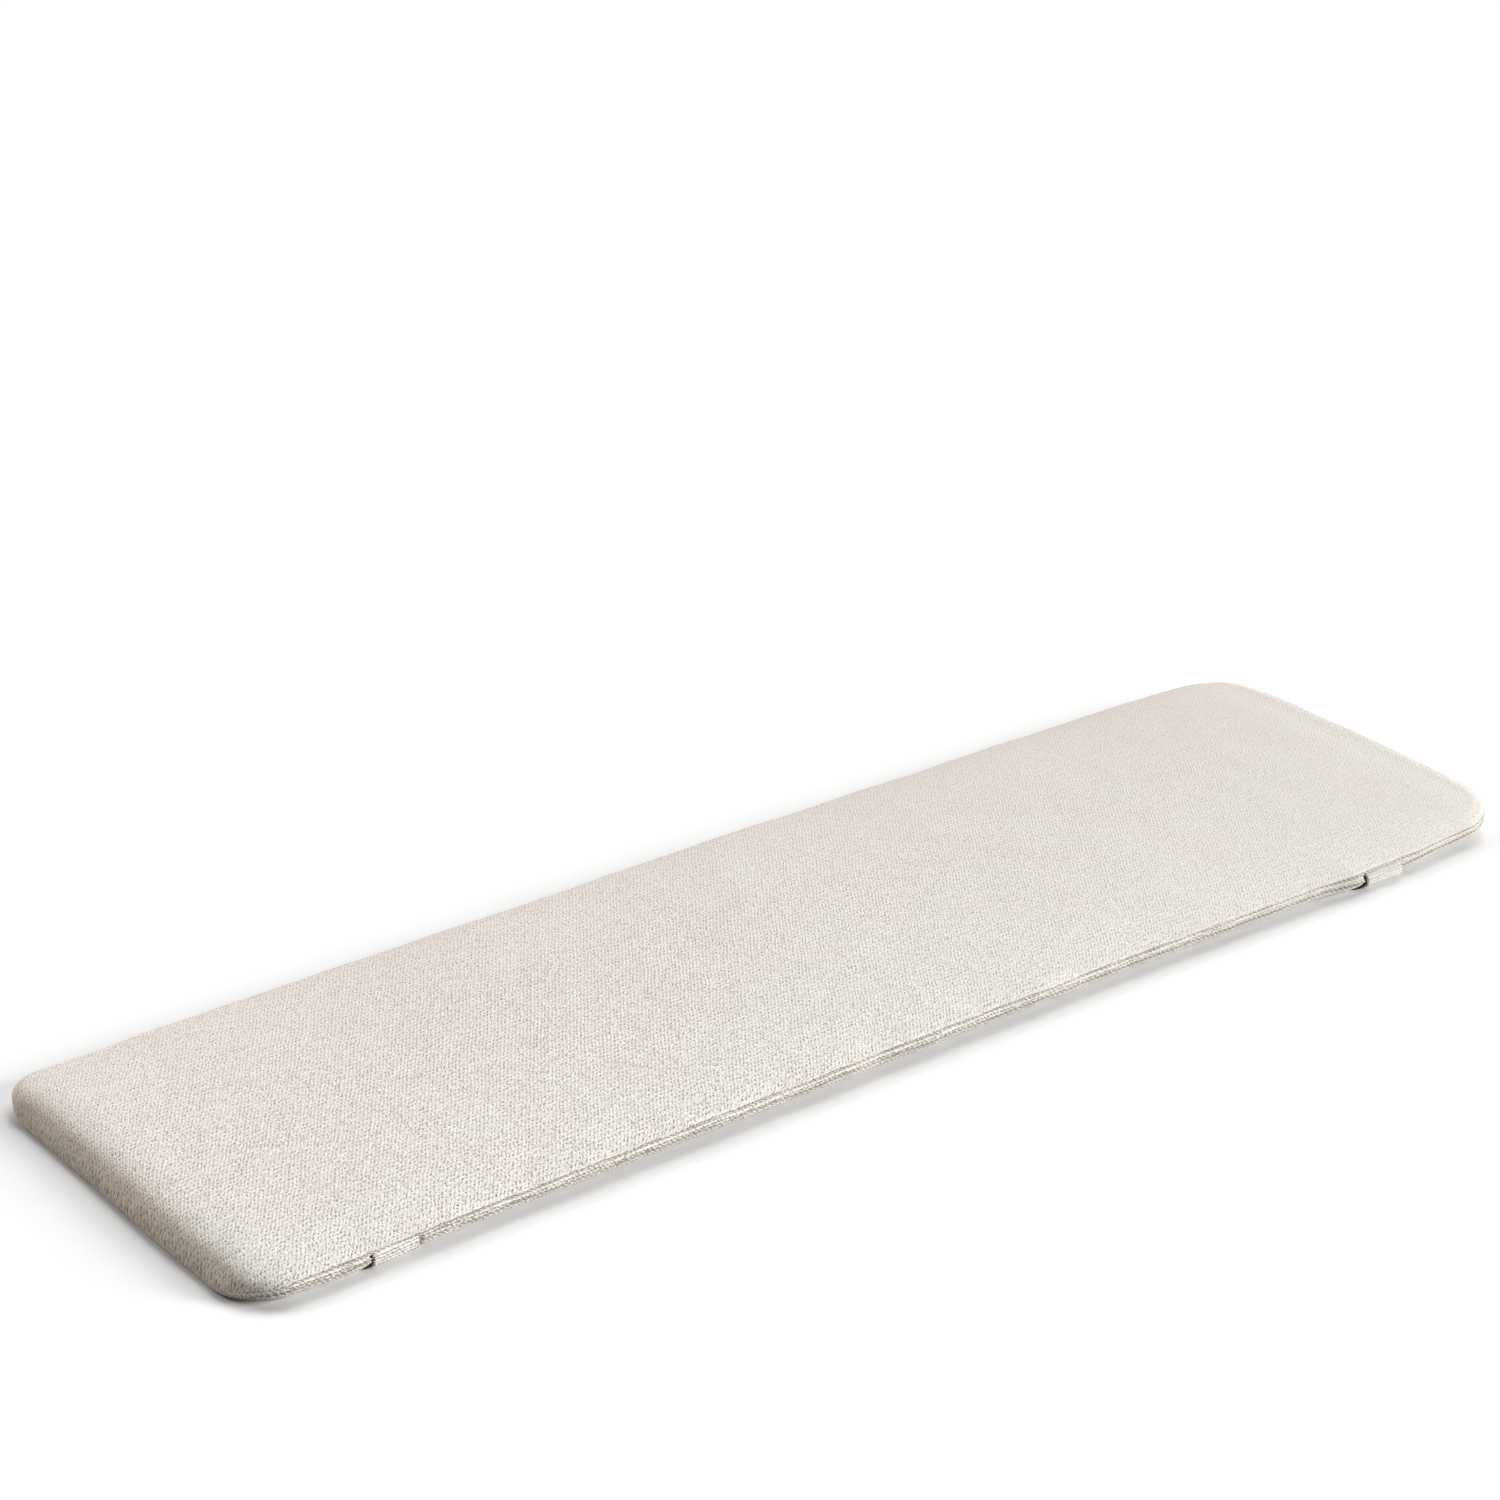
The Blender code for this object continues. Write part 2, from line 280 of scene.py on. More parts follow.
def sew_cover(name):
    """The cover as one closed shell of quads. Its map, in metres, is the cloth laid flat: the top
    panel runs down over the edge to the seam, and the bottom panel up to it."""
    beside_straps = [strap["x"] + side * (STRAP_WIDTH / 2 + away) for strap in STRAPS.values()
                     for side in (-1, 1) for away in LINES_BY_STRAP]
    beside_straps += [strap["x"] + strap["slip"] - TAPE_WIDTH / 2 - away
                      for strap in STRAPS.values() for away in LINES_BY_TAPE]
    along, across = pad_lines(LENGTH / 2, sorted(beside_straps)), pad_lines(WIDTH / 2)
    last_x, last_y, last_row = len(along) - 1, len(across) - 1, len(EDGE_ROWS) - 1
    cover = bmesh.new()
    section = cover.verts.layers.float.new("section")
    weave = cover.loops.layers.uv.new("weave")
    points = {}

    def point(i, j, row):
        if (i, j, row) not in points:
            made = cover.verts.new(filled_point(along[i], across[j], row))
            made[section] = row / ROWS_PER_SPAN
            points[i, j, row] = made
        return points[i, j, row]

    def cloth(corners, panel):
        face = cover.faces.new([point(*corner) for corner in corners])
        for loop, (i, j, row) in zip(face.loops, corners):
            x, y = along[i], across[j]
            inset, run = (FOOT_INSET, RUNS[row]) if panel == "bottom" else (BROW_INSET, RUNS[-1] - RUNS[row])
            flat_x, flat_y, _ = rounded(x, y, inset)
            flat = Vector((flat_x, flat_y, 0.0)) + outward(x, y) * run
            if panel == "bottom":
                flat += BOTTOM_PANEL_CUT_AT
            loop[weave].uv = flat.xy

    for i in range(last_x):
        for j in range(last_y):
            ring = ((i, j), (i + 1, j), (i + 1, j + 1), (i, j + 1))
            cloth([(a, b, last_row) for a, b in ring], "top")
            cloth([(a, b, 0) for a, b in reversed(ring)], "bottom")
    rim = [(i, 0) for i in range(last_x)] + [(last_x, j) for j in range(last_y)]
    rim += [(i, last_y) for i in range(last_x, 0, -1)] + [(0, j) for j in range(last_y, 0, -1)]
    for (i, j), (k, m) in zip(rim, rim[1:] + rim[:1]):
        for row in range(last_row):
            panel = "bottom" if row < SEAM_AT * ROWS_PER_SPAN else "top"
            cloth([(i, j, row), (k, m, row), (k, m, row + 1), (i, j, row + 1)], panel)
    mesh = bpy.data.meshes.new(name)
    cover.to_mesh(mesh)
    cover.free()
    return placed(name, mesh)


HELD, HELD_BY_SEAM, SEAM_HOLD_REACH = 0.35, 0.60, 0.45
FILLING_PRESSURE = {
    "quality": 5, "mass": 0.25, "tension_stiffness": 12, "compression_stiffness": 12, "shear_stiffness": 6,
    "bending_stiffness": 0.4, "shrink_min": -0.006, "use_pressure": True, "uniform_pressure_force": 4,
    "vertex_group_mass": "held", "pin_stiffness": 1.0,
}


def section_places(pad):
    """The place of each of the cover's points on the edge section."""
    return [entry.value for entry in pad.data.attributes["section"].data]


def swell(pad, frames=20, most=0.0009, evenings=8):
    """Let the filling push the cover out, as cloth under pressure that is held by its seam and its
    underside. The moves are evened out with their neighbours', so that no crease stays, no point
    moves further than most, and the result is kept in the mesh."""
    held = pad.vertex_groups.new(name="held")
    for index, place in enumerate(section_places(pad)):
        weight = HELD + HELD_BY_SEAM * bell(place, SEAM_AT, SEAM_HOLD_REACH)
        held.add([index], 1.0 if place <= UNDERSIDE_TO else weight, "REPLACE")
    before = [vertex.co.copy() for vertex in pad.data.vertices]
    cloth = pad.modifiers.new("Filling pressure", "CLOTH")
    for name, value in FILLING_PRESSURE.items():
        setattr(cloth.settings, name, value)
    cloth.settings.effector_weights.gravity = 0
    cloth.collision_settings.use_collision = False
    cloth.point_cache.frame_start, cloth.point_cache.frame_end = 1, frames
    scene = bpy.context.scene
    for number in range(1, frames + 1):
        scene.frame_set(number)
    swollen = pad.evaluated_get(bpy.context.evaluated_depsgraph_get())
    moved = [vertex.co - old for vertex, old in zip(swollen.data.vertices, before)]
    pad.modifiers.remove(cloth)
    scene.frame_set(1)
    beside = [[] for _ in moved]
    for edge in pad.data.edges:
        a, b = edge.vertices
        beside[a].append(b)
        beside[b].append(a)
    for _ in range(evenings):
        moved = [(move + sum((moved[other] for other in others), Vector())) / (1 + len(others))
                 for move, others in zip(moved, beside)]
    for vertex, old, move in zip(pad.data.vertices, before, moved):
        if move.length > most:
            move = move * (most / move.length)
        vertex.co = old + move
        vertex.co.z = max(vertex.co.z, 0.0)
    pad.vertex_groups.remove(held)


def as_plain_mesh(piece):
    """Replace the piece's mesh by what its modifiers make of it, and take them off."""
    made = bpy.data.meshes.new_from_object(piece.evaluated_get(bpy.context.evaluated_depsgraph_get()))
    piece.modifiers.clear()
    old, piece.data = piece.data, made
    made.name = piece.name
    bpy.data.meshes.remove(old)
    return piece


def strap_way(strap, inward=0.0, share=0.0):
    """A strap's way in section, as (distance outside the pad's side, height): out of the seam, down
    in two bends with its belly between them, and back under the pad. Inward moves it to the pad,
    and share, from -0.5 to 0.5, is the place across the strap."""
    bend, low = strap["bend"], STRAP_THICKNESS / 2
    centre = strap["belly"] - strap["lean"] * (share + 0.5) - bend
    turns = [math.pi / 2 * step / BEND_STEPS for step in range(BEND_STEPS + 1)]
    way = [(min(-STRAP_ROOT_DEPTH, centre - ROOT_RUN), STRAP_ROOT_HEIGHT)]
    way += [(centre + bend * math.sin(turn), STRAP_ROOT_HEIGHT - bend + bend * math.cos(turn))
            for turn in turns]
    way += [(centre + bend * math.cos(turn), low + bend - bend * math.sin(turn)) for turn in turns]
    way += [(centre - (centre + STRAP_TUCK) * step / TUCK_STEPS, low) for step in range(1, TUCK_STEPS + 1)]
    moved = []
    for index, (out, height) in enumerate(way):
        before, after = way[max(index - 1, 0)], way[min(index + 1, len(way) - 1)]
        run = Vector((after[0] - before[0], after[1] - before[1])).normalized()
        moved.append((out + run.y * inward, height - run.x * inward))
    return moved


def tape_slipped(strap, height):
    """How far the tape has slipped along X where it lies at a height, down to the top of the strap:
    a little at once, and the most of it close to the floor."""
    lowest = STRAP_THICKNESS + LAYER_GAP + TAPE_THICKNESS / 2
    settled = zero_to_one((STRAP_ROOT_HEIGHT - height) / (STRAP_ROOT_HEIGHT - lowest))
    return strap["slip"] * settled ** 9 - strap["shows"] * min(settled / 0.2, 1.0)


# The room that is pressed into the pad: under the strap, beside it, past its root and its tucked
# end, how wide its slopes are, and how far and how deep it may reach.
ROOM_UNDER, ROOM_BESIDE, ROOM_ABOVE, ROOM_BEHIND = 0.0006, 0.0005, 0.0002, 0.004
ROOM_SLOPE, ROOM_REACH, ROOM_DEEPEST = 0.002, 0.008, 0.0045


def nearest_on_way(way, out, height):
    """How far a point is from a strap's way, how far it is on the pad's side of it, and which way
    the pad's side is."""
    best = None
    for (a_out, a_up), (b_out, b_up) in zip(way, way[1:]):
        run = Vector((b_out - a_out, b_up - a_up))
        share = zero_to_one(((out - a_out) * run.x + (height - a_up) * run.y) / run.length_squared)
        gap = Vector((out - a_out - run.x * share, height - a_up - run.y * share))
        inward = Vector((run.y, -run.x)).normalized()
        if best is None or gap.length < best[0]:
            best = (gap.length, gap.dot(inward), inward)
    return best


def make_room_for_straps(pad):
    """Press the cover's underside and lower side in where a strap and its tape lie against it."""
    for strap in STRAPS.values():
        high = strap["x"] + STRAP_WIDTH / 2 + ROOM_BESIDE
        for vertex in pad.data.vertices:
            x, y, z = vertex.co
            if y > -WIDTH / 2 + STRAP_TUCK + ROOM_BEHIND or z > STRAP_ROOT_HEIGHT + ROOM_ABOVE:
                continue
            low = strap["x"] + tape_slipped(strap, z) - TAPE_WIDTH / 2 - ROOM_BESIDE
            if not low - ROOM_SLOPE < x < high + ROOM_SLOPE:
                continue
            under_tape = x < low + 2 * ROOM_BESIDE + TAPE_WIDTH
            layers = STRAP_THICKNESS / 2 + ROOM_UNDER + (LAYER_GAP + TAPE_THICKNESS if under_tape else 0.0)
            edge = min(x - (low - ROOM_SLOPE), (high + ROOM_SLOPE) - x, ROOM_SLOPE) / ROOM_SLOPE
            way = strap_way(strap, 0.0, min(max((x - strap["x"]) / STRAP_WIDTH, -0.5), 0.5))
            away, on_pad_side, inward = nearest_on_way(way, -WIDTH / 2 - y, z)
            need = layers - on_pad_side
            if need > 0 and away < ROOM_REACH:
                move = min(need, ROOM_DEEPEST) * edge
                vertex.co += Vector((0.0, -inward.x * move, max(inward.y, 0.0) * move))


GROOVE_DEPTH, FOLD_SHARE = 0.0011, 0.75
FINE_PUCKER, COARSE_PUCKER, LUMP, RIDGE = 0.00045, 0.0007, 0.0005, 0.00022
RELIEF_FROM, LUMPS_AT, RIDGE_AT = 0.55, 5.2, 5.3


def shape_seam(pad):
    """Draw the seam and the fine fold above it in to narrow grooves, pucker the cloth on both sides,
    and raise the soft ridge and the lumps of the seam allowance under the shoulder. The left end
    takes little of it."""
    normals = [Vector(entry.vector) for entry in pad.data.vertex_normals]
    for vertex, normal, place in zip(pad.data.vertices, normals, section_places(pad)):
        if place < RELIEF_FROM:
            continue
        x, y, _ = vertex.co
        front = 1.0 - left_end_share(outward(x, y))
        groove = bell(place, SEAM_AT, 0.22) * (0.25 + 0.75 * front)
        groove += FOLD_SHARE * bell(place, FOLD_AT, 0.16) * front
        gather = bell(place, SEAM_AT, 1.5) * (0.30 + 0.70 * front)
        fine = unevenness(x, y, 0.011, 3.1 + place * 0.2)
        coarse = unevenness(x, y, 0.026, 8.6 + place * 0.25)
        lumps = unevenness(x, y, 0.034, 21.4) * bell(place, LUMPS_AT, 0.8) * (0.4 + 0.6 * front)
        ridge = bell(place, RIDGE_AT, 0.35) * front
        move = -GROOVE_DEPTH * groove + gather * (FINE_PUCKER * fine + COARSE_PUCKER * coarse)
        move += LUMP * lumps + RIDGE * ridge
        vertex.co += normal * move
        vertex.co.z = max(vertex.co.z, 0.0)


def srgb(value):
    """A colour's sRGB hex value as linear red, green, blue and alpha."""
    parts = [int(value[place:place + 2], 16) / 255 for place in (1, 3, 5)]
    return (*[part / 12.92 if part <= 0.04045 else ((part + 0.055) / 1.055) ** 2.4 for part in parts], 1.0)


def give(node, inputs):
    """Give a node's inputs, by their order or by name, plain values or links. A node stands for its
    first output."""
    for socket, value in inputs.items() if isinstance(inputs, dict) else enumerate(inputs):
        if isinstance(value, bpy.types.Node):
            value = value.outputs[0]
        if isinstance(value, bpy.types.NodeSocket):
            node.id_data.links.new(value, node.inputs[socket])
        else:
            node.inputs[socket].default_value = value


def add_node(tree, kind, inputs=(), operation=None, **settings):
    """Add one node with its operation and settings, and give its inputs values or links."""
    made = tree.nodes.new(kind)
    if operation:
        made.operation = operation
    for name, value in settings.items():
        setattr(made, name, value)
    give(made, inputs)
    return made


def new_finish(name, **own_sockets):
    """A material with only its shader, whose own sockets hold what is the same all over, and what
    adds nodes to it."""
    finish = bpy.data.materials.new(name)
    finish.use_nodes = True
    shader = finish.node_tree.nodes["Principled BSDF"]
    give(shader, {socket.replace("_", " "): value for socket, value in own_sockets.items()})
    return finish, partial(add_node, finish.node_tree), shader


MATH, VECTOR_MATH = "ShaderNodeMath", "ShaderNodeVectorMath"
NOISE, VORONOI, RANGE = "ShaderNodeTexNoise", "ShaderNodeTexVoronoi", "ShaderNodeMapRange"


def woven_cover_cloth(name):
    """Coarse plain weave of linen and polyester: thick soft weft yarns 2.1 mm apart, whose floats
    between the warp are 3.2 mm apart, each row set off by half, and lean with the twist. Small deep
    pits where four yarns meet, deeper in every other row, and creamy crowns; the colour follows the
    relief, so the pits and hollows are painted dark as shade. Dry and matt."""
    float_pitch, row_pitch = 3.2, 2.1
    warp_lean, lean_with_twist = 0.07 / float_pitch, -0.5
    wander_pitch, wander_by = 34, (2.6, 2.2, 0)
    finish, add, shader = new_finish(name, Roughness=0.93, Specular_IOR_Level=0.2,
                                     Sheen_Weight=0.08, Sheen_Roughness=0.5)

    # The map in millimetres, off true by the yarns' slow wandering, then counted in rows and warps.
    flat = add("ShaderNodeUVMap", uv_map="weave")
    mm = add(VECTOR_MATH, (flat, (1000, 1000, 0)), "MULTIPLY")
    wander = add(NOISE, {"Vector": mm, "Scale": 1 / wander_pitch, "Detail": 1.5}, noise_dimensions="2D")
    wandered = add(VECTOR_MATH, (wander.outputs["Color"], wander_by, mm), "MULTIPLY_ADD")
    x, y, _ = add("ShaderNodeSeparateXYZ", (wandered,)).outputs
    row_place = add(MATH, (y, row_pitch), "DIVIDE")
    across = add(MATH, (row_place, 0.5), "ADD")
    across = add(MATH, (across,), "FRACT")
    across = add(MATH, (across, 0.5), "SUBTRACT")
    warp_place = add(MATH, (x, float_pitch), "DIVIDE")
    warp_place = add(MATH, (y, warp_lean, warp_place), "MULTIPLY_ADD")

    # Each float is a soft, leaning cushion of yarn about a point of the staggered pattern, a little
    # off its place. Its colour output is a chance of its own.
    leant = add(MATH, (row_place, lean_with_twist, warp_place), "MULTIPLY_ADD")
    float_place = add("ShaderNodeCombineXYZ", (leant, row_place))
    floats = add(VORONOI, {"Vector": float_place, "Scale": 1.0, "Randomness": 0.52}, voronoi_dimensions="2D")
    chance = add("ShaderNodeSeparateColor", (floats.outputs["Color"],))
    off = add(MATH, (floats.outputs["Distance"], 0.74), "DIVIDE")
    crown = add(MATH, (off, off), "MULTIPLY")
    crown = add(MATH, (1.0, crown), "SUBTRACT")
    crown = add(MATH, (crown, 0.0), "MAXIMUM")

    # The deep pits, one to every second row, where the weft dives under the warp. They dip the relief,
    # and the colour is painted darker there, as painted shade.
    deep_row = add(MATH, (y, 2 * row_pitch), "DIVIDE")
    pit_along = add(MATH, (warp_place, 0.5), "SUBTRACT")
    pit_along = add(MATH, (pit_along, deep_row), "SUBTRACT")
    pit_place = add("ShaderNodeCombineXYZ", (pit_along, deep_row))
    pits = add(VORONOI, {"Vector": pit_place, "Scale": 1.0, "Randomness": 0.48}, voronoi_dimensions="2D")
    pit_chance = add("ShaderNodeSeparateColor", (pits.outputs["Color"],)).outputs[1]
    pit = add(RANGE, (pits.outputs["Distance"], 0.36, 0.04, 0.0, 1.0), interpolation_type="SMOOTHSTEP")
    pit_depth = add(MATH, (pit_chance, 0.8, 0.6), "MULTIPLY_ADD")
    pit = add(MATH, (pit, pit_depth), "MULTIPLY")

    # The plies' twist, three to a float, the loose fibres on it, and the coarser unevenness of
    # hand-like spun yarn.
    plies = add(MATH, (across, 0.9, leant), "MULTIPLY_ADD")
    plies = add(MATH, (plies, 18.85), "MULTIPLY")
    plies = add(MATH, (plies,), "SINE")
    fibre = add(NOISE, {"Vector": wandered, "Scale": 2.2, "Detail": 2.0}, noise_dimensions="2D")
    grain = add(NOISE, {"Vector": wandered, "Scale": 0.75, "Detail": 1.0}, noise_dimensions="2D")
    fibre = add(MATH, (fibre, 0.60, -0.30), "MULTIPLY_ADD")
    grain = add(MATH, (grain, 1.10, -0.55), "MULTIPLY_ADD")
    rough = add(MATH, (fibre, grain), "ADD")
    body = add(MATH, (crown, 0.50), "MULTIPLY")
    body = add(MATH, (pit, -0.50, body), "MULTIPLY_ADD")
    body = add(MATH, (plies, 0.05, body), "MULTIPLY_ADD")
    height = add(MATH, (body, rough), "ADD")

    # On the rounded edge the stretched cloth shows its weft as rows, with a dip between them that is
    # also painted dark, as painted shade.
    section = add("ShaderNodeAttribute", attribute_type="GEOMETRY", attribute_name="section")
    on_edge = add(RANGE, (section.outputs["Fac"], 4.7, 3.9, 0.0, 1.0), interpolation_type="SMOOTHSTEP")
    off_row = add(MATH, (across,), "ABSOLUTE")
    between_rows = add(RANGE, (off_row, 0.26, 0.5, 0.0, 1.0), interpolation_type="SMOOTHSTEP")
    row_line = add(MATH, (between_rows, on_edge), "MULTIPLY")
    row_line = add(MATH, (row_line, 0.70), "MULTIPLY")
    relief = add(MATH, (height, row_line), "SUBTRACT")

    # Slubs: a yarn is thicker and lighter for a stretch, both weft and warp.
    slubs = []
    for stretch, amount in (((1 / 46, 1 / row_pitch, 0), 0.18), ((1 / 3.6, 1 / 60, 0), 0.14)):
        way = add(VECTOR_MATH, (wandered, stretch), "MULTIPLY")
        slub = add(NOISE, {"Vector": way, "Scale": 1.0, "Detail": 1.0}, noise_dimensions="2D")
        slubs.append(add(MATH, (slub, amount, -amount / 2), "MULTIPLY_ADD"))
    uneven = add(MATH, slubs, "ADD")
    chance = add(MATH, (chance, 0.30, -0.15), "MULTIPLY_ADD")
    tone = add(MATH, (relief, uneven), "ADD")
    tone = add(MATH, (tone, chance), "ADD")
    tone = add(RANGE, (tone, -0.50, 0.90, -0.55, 0.45))

    # Towards the bowed right end and the far side the weave's relief is flatter, and the painted shade in
    # its weave is paler there, painted light standing in for the light falling less aslant.
    place = add("ShaderNodeTexCoord").outputs["Object"]
    along_x, across_y, _ = add("ShaderNodeSeparateXYZ", (place,)).outputs
    flattening_and_painted_shade_fade_along = add(RANGE, (along_x, -0.20, 0.56, 1.18, 0.42))
    flattening_and_painted_shade_fade_across = add(RANGE, (across_y, 0.02, 0.13, 1.0, 0.75))
    flattening_and_painted_shade_fade = add(MATH, (flattening_and_painted_shade_fade_along, flattening_and_painted_shade_fade_across), "MULTIPLY")
    tone = add(MATH, (tone, flattening_and_painted_shade_fade, 0.56), "MULTIPLY_ADD")
    # The ramp paints the colour by the relief: painted shade in the pits, between the rows and at the floats'
    # edges, creamy crowns, with the yarn's own uneven tone on top.
    yarn = add("ShaderNodeValToRGB", (tone,))
    stops = yarn.color_ramp.elements
    stops[0].position, stops[0].color = 0.02, srgb("#8f8782")
    stops[1].position, stops[1].color = 1.0, srgb("#f7f2eb")
    for position, value in ((0.34, "#c9c2bb"), (0.62, "#e0d9d2")):
        stops.new(position).color = srgb(value)

    # Broad, faint patches of pinkish beige and of greyish green, from the dye and the dried linen,
    # pinker towards the left end. Along the near side, but not at its left end, the linen is painted
    # greener, a painted tint of the light from the front.
    patches = add(NOISE, {"Vector": mm, "Scale": 1 / 60, "Detail": 2.0}, noise_dimensions="2D")
    pinker_left = add(RANGE, (along_x, -0.30, 0.0, 0.22, 0.0))
    patches = add(MATH, (patches, pinker_left), "ADD")
    # Painted light: the near side is tinted greener, as by the light from the front.
    patches = add(MATH, (across_y, 1.7, patches), "MULTIPLY_ADD")
    hue = add("ShaderNodeValToRGB", (patches,))
    stops = hue.color_ramp.elements
    stops[0].position, stops[0].color = 0.32, (0.992, 1.022, 1.016, 1)
    stops[1].position, stops[1].color = 0.66, (1.0, 0.990, 0.984, 1)
    dye_and_painted_shade = add("ShaderNodeMix", {0: 1.0, 6: yarn, 7: hue}, data_type="RGBA", blend_type="MULTIPLY").outputs[2]

    # The linen is painted a little lighter towards the near left and greyer towards the far right corner,
    # as painted shade. Its left end's roll is painted darker and warmer, and its right end's roll a
    # little darker and cooler: painted shade on both ends.
    diagonal = add(MATH, (across_y, 2.0, along_x), "MULTIPLY_ADD")
    painted_falloff = add(RANGE, (diagonal, -0.55, 0.74, 1.09, 0.92))
    dye_and_painted_shade = add(VECTOR_MATH, {0: dye_and_painted_shade, 3: painted_falloff}, "SCALE")
    # Painted shade: the left end's roll is painted darker and warmer, the right end's roll a little darker
    # and cooler.
    for begins, whole, tint in ((-0.576, -0.588, (0.97, 0.905, 0.830, 1)),
                                (0.588, 0.602, (0.94, 0.955, 0.985, 1))):
        painted_end_shade = add(RANGE, (along_x, begins, whole, 0.0, 1.0), interpolation_type="SMOOTHSTEP")
        dye_and_painted_shade = add("ShaderNodeMix", {0: painted_end_shade, 6: dye_and_painted_shade, 7: tint},
                   data_type="RGBA", blend_type="MULTIPLY").outputs[2]
    relief = add(MATH, (relief, flattening_and_painted_shade_fade), "MULTIPLY")
    bump = add("ShaderNodeBump", {"Strength": 0.8, "Distance": 0.0005, "Height": relief})
    give(shader, {"Base Color": dye_and_painted_shade, "Normal": bump})
    return finish


def dress(piece, finish):
    """Give a piece its one finish and smooth faces."""
    piece.data.materials.clear()
    piece.data.materials.append(finish)
    for face in piece.data.polygons:
        face.use_smooth = True


cover_cloth = woven_cover_cloth("plain_woven_linen_blend")
pad = sew_cover("pad_cover")
swell(pad)
finer = pad.modifiers.new("Smoother", "SUBSURF")
finer.levels = finer.render_levels = 1
finer.uv_smooth = "NONE"
as_plain_mesh(pad)
make_room_for_straps(pad)
shape_seam(pad)
dress(pad, cover_cloth)
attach(pad, "root")
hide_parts("cushion")

# ---------------------------------------------------------------------------------------------
# The yarn of the seam. Where the cover's two panels meet, the last weft yarns of each lie along the
# edge as thick two-ply twisted rows, just above and just below the sewn groove.

YARN_ROWS = {"yarn_row_above": {"place": 3.55, "radius": 0.00120, "lift": 0.0000, "seed": 2.0},
             "yarn_row_below": {"place": 2.24, "radius": 0.00145, "lift": 0.0001, "seed": 6.0}}
ROW_STEP, ROW_WANDER, WANDER_PITCH = 0.0010, 0.0006, 0.03
TWIST_PITCH, OVAL_SIDES, OVAL_WAIST = 0.0090, 9, 0.45
ROW_SINK = 0.0010    # at the left end the rows lie almost flush in the cloth
LEAST_HEIGHT = 0.0006


def along_edge(place, lift, wander=0.0, seed=0.0):
    """Points round the pad on its cover, at one place of the edge section."""
    skin = BVHTree.FromObject(pad, bpy.context.evaluated_depsgraph_get())
    inset, height, _ = edge_point(place)
    radius = CORNER_RADIUS - inset
    half_x, half_y = LENGTH / 2 - CORNER_RADIUS, WIDTH / 2 - CORNER_RADIUS
    out_x, out_y = half_x + radius, half_y + radius
    straights = [((-half_x, -out_y), (half_x, -out_y)), ((out_x, -half_y), (out_x, half_y)),
                 ((half_x, out_y), (-half_x, out_y)), ((-out_x, half_y), (-out_x, -half_y))]
    corners = [(half_x, -half_y), (half_x, half_y), (-half_x, half_y), (-half_x, -half_y)]
    ring = []
    for number, (((ax, ay), (bx, by)), (middle_x, middle_y)) in enumerate(zip(straights, corners)):
        count = round(math.hypot(bx - ax, by - ay) / ROW_STEP)
        ring += [(ax + (bx - ax) * k / count, ay + (by - ay) * k / count) for k in range(count)]
        start = -math.pi / 2 + number * math.pi / 2
        count = round(math.pi / 2 * radius / ROW_STEP)
        turns = [start + math.pi / 2 * k / count for k in range(count)]
        ring += [(middle_x + radius * math.cos(turn), middle_y + radius * math.sin(turn)) for turn in turns]
    found = []
    for x, y in ring:
        up = height + lengthwise_rise(x) * (height / TOP_OF_FOAM) ** 2
        up += wander * unevenness(x, y, WANDER_PITCH, seed)
        facing = outward(x, y)
        further_in, lower = end_shape(facing, place)
        further_in -= squeezed_out(x, facing, place)
        aim = Vector((x, y, max(up - lower, LEAST_HEIGHT))) - facing * (drawn_in(x, y) + further_in)
        spot, normal, _, _ = skin.find_nearest(aim)
        found.append(spot + normal * (lift - ROW_SINK * left_end_share(facing)))
    return found


def closed_path(name, points):
    """The points as a ring of edges, for a Geometry Nodes tree to build on."""
    mesh = bpy.data.meshes.new(name)
    count = len(points)
    mesh.from_pydata([tuple(point) for point in points], [(k, (k + 1) % count) for k in range(count)], [])
    return placed(name, mesh)


def new_tree(name, *sizes):
    """A Geometry Nodes tree with one named input for each size, what adds nodes to it, its inputs,
    and its path divided evenly by the first size."""
    tree = bpy.data.node_groups.new(name, "GeometryNodeTree")
    tree.interface.new_socket("Geometry", in_out="INPUT", socket_type="NodeSocketGeometry")
    for size in sizes:
        tree.interface.new_socket(size, in_out="INPUT", socket_type="NodeSocketFloat")
    tree.interface.new_socket("Geometry", in_out="OUTPUT", socket_type="NodeSocketGeometry")
    add = partial(add_node, tree)
    given = add("NodeGroupInput").outputs
    path = add("GeometryNodeMeshToCurve", (given["Geometry"],))
    path = add("GeometryNodeResampleCurve", {"Curve": path, "Length": given[sizes[0]]}, mode="LENGTH")
    return tree, add, given, path


def end_tree(add, grown, finish):
    """Give out what a tree has grown as plain faces in one material."""
    grown = add("GeometryNodeRealizeInstances", (grown,))
    grown = add("GeometryNodeSetMaterial", {"Geometry": grown, "Material": finish})
    add("NodeGroupOutput", (grown,))


def grow(piece, tree, finish, **sizes):
    """Run a tree on a piece with its sizes, and keep the plain mesh."""
    growth = piece.modifiers.new("Growth", "NODES")
    growth.node_group = tree
    given = {item.name: item.identifier for item in tree.interface.items_tree if item.in_out == "INPUT"}
    for name, value in sizes.items():
        growth[given[name.replace("_", " ")]] = value
    as_plain_mesh(piece)
    dress(piece, finish)
    return piece


